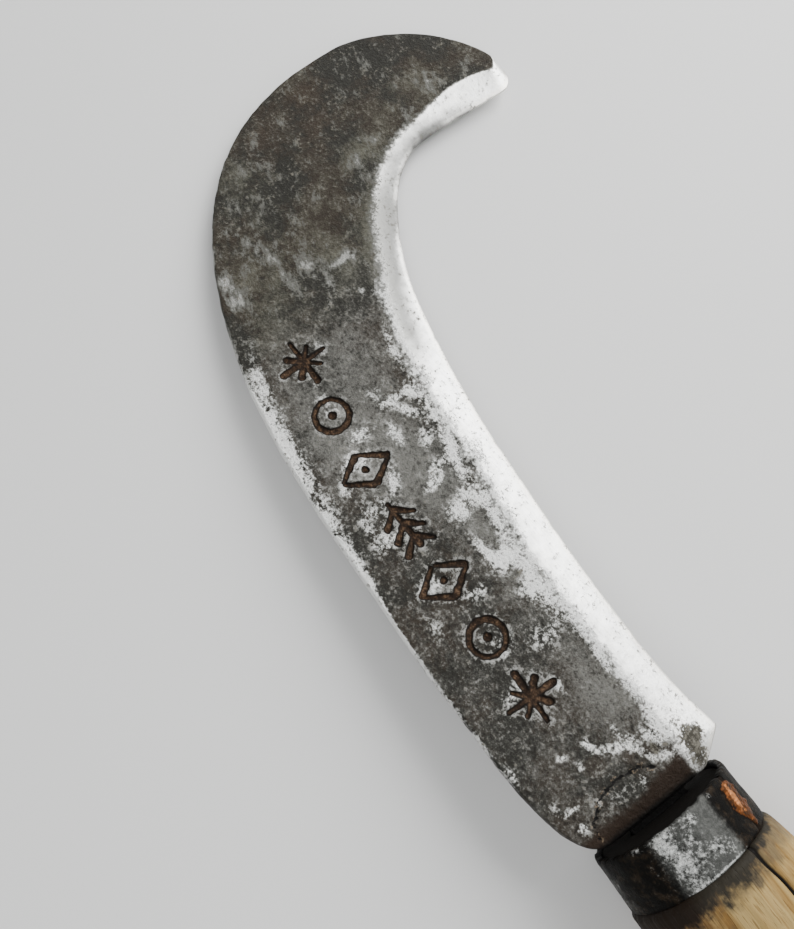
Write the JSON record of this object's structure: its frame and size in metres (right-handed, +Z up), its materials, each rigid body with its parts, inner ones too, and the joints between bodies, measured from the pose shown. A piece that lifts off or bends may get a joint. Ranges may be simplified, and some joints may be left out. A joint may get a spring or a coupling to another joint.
{
  "type": "billhook",
  "caption": "Hand billhook with a forged hooked blade, a ground inner edge, a chiselled ornament, a brazed ferrule and a carved wooden grip.",
  "frame": {"origin": "centre of the bounding box's base, on the surface that the tool lies on", "axes": "+X towards the nose of the hook, level; the cutting edge faces -Y; +Z up. The tool lies on its flat cheek side, on the hook's nose and the ferrule's rim, so the blade slopes down 4.08 degrees towards +X"},
  "size_m": [0.3615, 0.1218, 0.0444],
  "materials": {
    "forged_steel": "hammer-forged, dark patina with bare pitted patches and a bright ground edge",
    "ferrule_steel": "rolled strip, blackened, worn bare in patches",
    "brazing_metal": "copper-coloured brazing spelter, pitted and rubbed bright",
    "handle_wood": "hand-carved pale hardwood, dark stains near the iron, split along the grain"
  },
  "bodies": {
    "root": {"blade": "forged_steel", "ferrule": "ferrule_steel", "ferrule_braze": "brazing_metal", "handle": "handle_wood", "tang_washer": "ferrule_steel"}
  },
  "joints": []
}
